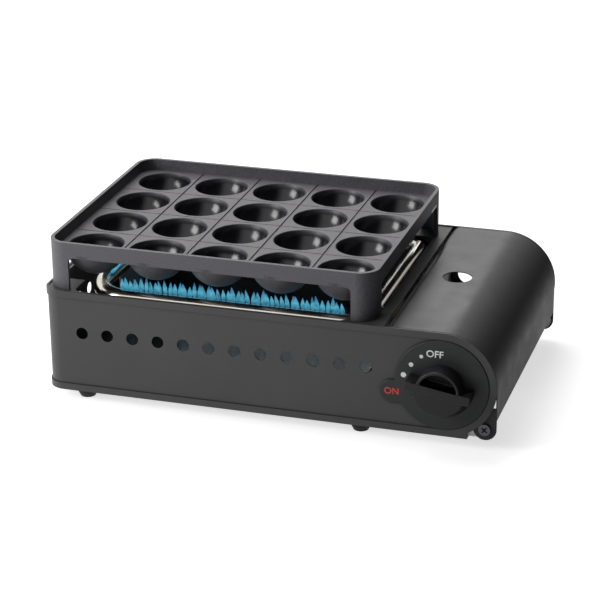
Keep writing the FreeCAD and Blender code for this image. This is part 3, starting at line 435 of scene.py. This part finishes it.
DOTS = (-15.8, 21.8, 1.5), (-23.6, 14.3, 1.85), (-29.4, 5.3, 2.15)
for number, (dx, dz, rad) in enumerate(DOTS):
    dot(f"flame_dot_{number}", dx * MM, dz * MM, rad * MM)
word("mark_off", "OFF", -5.5 * MM, 24.6 * MM, 7.6 * MM, WHITE_INK)
word("mark_on", "ON", -38.5 * MM, -9.4 * MM, 7.4 * MM, RED_INK)


RECESS_LONG, RECESS_NARROW, RECESS_THICK = 2.9 * MM, 0.75 * MM, 0.12 * MM
RECESS_TURN = math.radians(38)
# Near-black colour for the screws' cross recesses: painted shade.
RECESS_SHADE = moulded("recess_shade", (0.01, 0.01, 0.01), 0.6)


def cross_recess(node, name):
    """A screw's cross recess, drawn as two thin bars of painted shade on its head, standing for the
    shade inside the recess.
    """
    low, high = (Vector(v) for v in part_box(node))
    mid = (low + high) / 2
    front = low.y if mid.y < 0 else high.y
    bm = bmesh.new()
    for wide, tall in ((RECESS_LONG, RECESS_NARROW), (RECESS_NARROW, RECESS_LONG)):
        scale = Matrix.Diagonal((wide * 2, RECESS_THICK, tall * 2, 1))
        bmesh.ops.create_cube(bm, size=1.0, matrix=Matrix.Translation((mid.x, front, mid.z)) @ scale)
    turn = Matrix.Rotation(RECESS_TURN, 4, "Y")
    bmesh.ops.rotate(bm, cent=(mid.x, front, mid.z), matrix=turn, verts=bm.verts)
    mesh = bpy.data.meshes.new(name)
    bm.to_mesh(mesh)
    bm.free()
    obj = link(bpy.data.objects.new(name, mesh))
    mesh.materials.append(RECESS_SHADE)
    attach(obj, "body")


cross_recess("hinge_screw_front", "screw_recess_front")
cross_recess("hinge_screw_rear", "screw_recess_rear")

# Stage: the floor and the flames.
FLOOR_GLOW = 0.66
FLOOR_REACH = 6.0


def stage_floor():
    """A white table. Its colour as mirrored in the object is painted darker to the right, a painted
    shade in its reflection as if a dark card stood there.
    """
    mesh = bpy.data.meshes.new("floor")
    reach = FLOOR_REACH
    corners = [(-reach, -reach, 0), (reach, -reach, 0), (reach, reach, 0), (-reach, reach, 0)]
    mesh.from_pydata(corners, [], [(0, 1, 2, 3)])
    obj = link(bpy.data.objects.new("floor", mesh))
    s = Shader("floor", (0.8, 0.8, 0.8), 0.9, specular=0.0)
    path = s.nodes.new("ShaderNodeLightPath")
    place = s.nodes.new("ShaderNodeSeparateXYZ")
    s.links.new(s.place, place.inputs[0])
    # Painted shade in the floor's reflection: its brightness in glossy rays fades to the right.
    mirrored_fade = s.spread(place.outputs["X"], 1.0, 0.06, 0.0, 0.32)
    glossy = path.outputs["Is Glossy Ray"]
    plain = s.math("MAXIMUM", path.outputs["Is Camera Ray"], path.outputs["Is Transmission Ray"])
    seen = s.math("MAXIMUM", plain, s.math("MULTIPLY", glossy, mirrored_fade))
    s.set("Emission Color", (1, 1, 1, 1))
    s.link(s.math("MULTIPLY", seen, FLOOR_GLOW), s.out.inputs["Emission Strength"])
    # Floor colour in glossy rays painted dark on the right: painted shade in reflections.
    dark = s.math("MULTIPLY", glossy, s.math("SUBTRACT", 1, mirrored_fade))
    s.link(s.blend(dark, (0.8, 0.8, 0.8), (0.05, 0.05, 0.05)), s.out.inputs["Base Color"])
    obj.data.materials.append(s.mat)


stage_floor()


# Height of the flames' feet, on the shoulder of the burner tube.
FLAME_FOOT = 87 * MM


def flame_material():
    """Blue gas flame: dim blue at its foot, pale below the middle, deep blue at its tip."""
    mat = bpy.data.materials.new("flame")
    mat.use_nodes = True
    nodes, links = mat.node_tree.nodes, mat.node_tree.links
    nodes.clear()
    out = nodes.new("ShaderNodeOutputMaterial")
    mix = nodes.new("ShaderNodeMixShader")
    clear = nodes.new("ShaderNodeBsdfTransparent")
    glow = nodes.new("ShaderNodeEmission")
    glow.inputs["Strength"].default_value = 0.75
    spot = nodes.new("ShaderNodeTexCoord").outputs["Object"]
    place = nodes.new("ShaderNodeSeparateXYZ")
    links.new(spot, place.inputs[0])
    rise = nodes.new("ShaderNodeMapRange")
    rise.inputs["From Min"].default_value = FLAME_FOOT
    rise.inputs["From Max"].default_value = FLAME_FOOT + 0.012
    links.new(place.outputs["Z"], rise.inputs["Value"])
    hue = nodes.new("ShaderNodeValToRGB")
    hue.color_ramp.elements[0].color = (0.02, 0.16, 0.3, 1)
    hue.color_ramp.elements[1].color = (0.03, 0.08, 0.4, 1)
    middle = hue.color_ramp.elements.new(0.4)
    middle.color = (0.14, 0.62, 0.85, 1)
    links.new(rise.outputs["Result"], hue.inputs["Fac"])
    links.new(hue.outputs["Color"], glow.inputs["Color"])
    flicker = nodes.new("ShaderNodeTexNoise")
    flicker.inputs["Scale"].default_value = 320
    links.new(spot, flicker.inputs["Vector"])
    cover = nodes.new("ShaderNodeMapRange")
    for socket, value in (("From Min", 0.35), ("From Max", 0.62), ("To Min", 0.25), ("To Max", 0.8)):
        cover.inputs[socket].default_value = value
    links.new(flicker.outputs["Fac"], cover.inputs["Value"])
    links.new(cover.outputs["Result"], mix.inputs["Fac"])
    links.new(clear.outputs[0], mix.inputs[1])
    links.new(glow.outputs[0], mix.inputs[2])
    links.new(mix.outputs[0], out.inputs["Surface"])
    return mat


FRONT_FLAMES, BACK_FLAMES, LEFT_FLAMES = 46, 22, 14
FLAME_SIDES = 8


def add_flames():
    """Small tapering flames that lean in from the tube's inner shoulder, closest along the front.

    They follow the photograph's density, so they don't stand one to a port.
    """
    rng = random.Random(7)
    bm = bmesh.new()
    tube, bend, step = 7 * MM, 36 * MM, 8 * MM
    left, front, back = burner_low.x + tube, burner_low.y + tube, burner_high.y - tube
    spots = []
    for i in range(FRONT_FLAMES):
        x = left + 0.75 * bend + i * step / 2
        spots.append((x, front, 0, 1))
    for i in range(BACK_FLAMES):
        spots.append((left + bend + i * step, back, 0, -1))
    for i in range(LEFT_FLAMES):
        spots.append((left, front + bend + i * step, 1, 0))
    for x, y, way_x, way_y in spots:
        tall = rng.uniform(7.5, 11.5) * MM
        wide = rng.uniform(1.7, 2.3) * MM
        base = Vector((x + way_x * tube * 0.72, y + way_y * tube * 0.72, FLAME_FOOT))
        lean = Vector((way_x * 0.5 - 0.25 * abs(way_y) + rng.uniform(-0.15, 0.15),
                       way_y * 0.5 + rng.uniform(-0.1, 0.1), 1))
        rings = []
        for share, swell in ((0, 0.6), (0.25, 1.0), (0.5, 0.9), (0.78, 0.5), (1, 0.08)):
            middle = base + lean * (tall * share)
            rings.append([bm.verts.new(middle + Vector((math.cos(t), math.sin(t), 0)) * wide * swell)
                          for t in (math.tau * k / FLAME_SIDES for k in range(FLAME_SIDES))])
        for low, high in zip(rings, rings[1:]):
            for k in range(FLAME_SIDES):
                after = (k + 1) % FLAME_SIDES
                face = bm.faces.new((low[k], low[after], high[after], high[k]))
                face.smooth = True
    mesh = bpy.data.meshes.new("flames")
    bm.to_mesh(mesh)
    bm.free()
    obj = link(bpy.data.objects.new("flames", mesh))
    mesh.materials.append(flame_material())
    obj.visible_shadow = False


# The flames are burning gas, not pieces of the object.
add_flames()


def soft_light(name, place, aim, width, height, power):
    data = bpy.data.lights.new(name, "AREA")
    data.shape = "RECTANGLE"
    data.size, data.size_y, data.energy = width, height, power
    obj = link(bpy.data.objects.new(name, data))
    turn = (Vector(aim) - Vector(place)).to_track_quat("-Z", "Y").to_matrix().to_4x4()
    obj.matrix_world = Matrix.Translation(place) @ turn


soft_light("top_box", (-0.4, 0.35, 1.3), (0.0, 0.0, 0.05), 1.0, 0.8, 10)
# Away from the camera and up, where flat tops mirror it.
turn = math.radians(AZIMUTH)
back_way = Vector((-math.sin(turn), math.cos(turn), 0.62)).normalized()
soft_light("back_box", back_way * 1.4, (0.0, 0.0, 0.1), 0.8, 0.35, 1.8)
soft_light("left_box", (-1.15, -0.75, 0.6), (-0.1, 0.0, 0.05), 0.7, 0.7, 14)

WORLD_DIFFUSE = 0.3


def make_world():
    """A white studio, dimmer towards the right, and plain white where the camera looks."""
    world = bpy.data.worlds.new("studio")
    bpy.context.scene.world = world
    world.use_nodes = True
    nodes, links = world.node_tree.nodes, world.node_tree.links
    backdrop = nodes["Background"]
    backdrop.inputs["Color"].default_value = (1, 1, 1, 1)

    def math_node(kind, a, b):
        node = nodes.new("ShaderNodeMath")
        node.operation = kind
        for i, value in enumerate((a, b)):
            if isinstance(value, (int, float)):
                node.inputs[i].default_value = value
            else:
                links.new(value, node.inputs[i])
        return node.outputs[0]

    way = nodes.new("ShaderNodeSeparateXYZ")
    links.new(nodes.new("ShaderNodeTexCoord").outputs["Generated"], way.inputs[0])
    level = nodes.new("ShaderNodeMapRange")
    level.interpolation_type = "SMOOTHSTEP"
    for socket, value in (("From Min", -0.1), ("From Max", 0.5), ("To Min", 1.0), ("To Max", 0.03)):
        level.inputs[socket].default_value = value
    links.new(way.outputs["X"], level.inputs["Value"])
    path = nodes.new("ShaderNodeLightPath")
    seen = math_node("MAXIMUM", path.outputs["Is Camera Ray"], path.outputs["Is Transmission Ray"])
    bright = math_node("MAXIMUM", path.outputs["Is Glossy Ray"], WORLD_DIFFUSE)
    shaded = math_node("MULTIPLY", bright, level.outputs["Result"])
    links.new(math_node("MAXIMUM", seen, shaded), backdrop.inputs["Strength"])


make_world()

bpy.context.scene.view_settings.view_transform = "Standard"
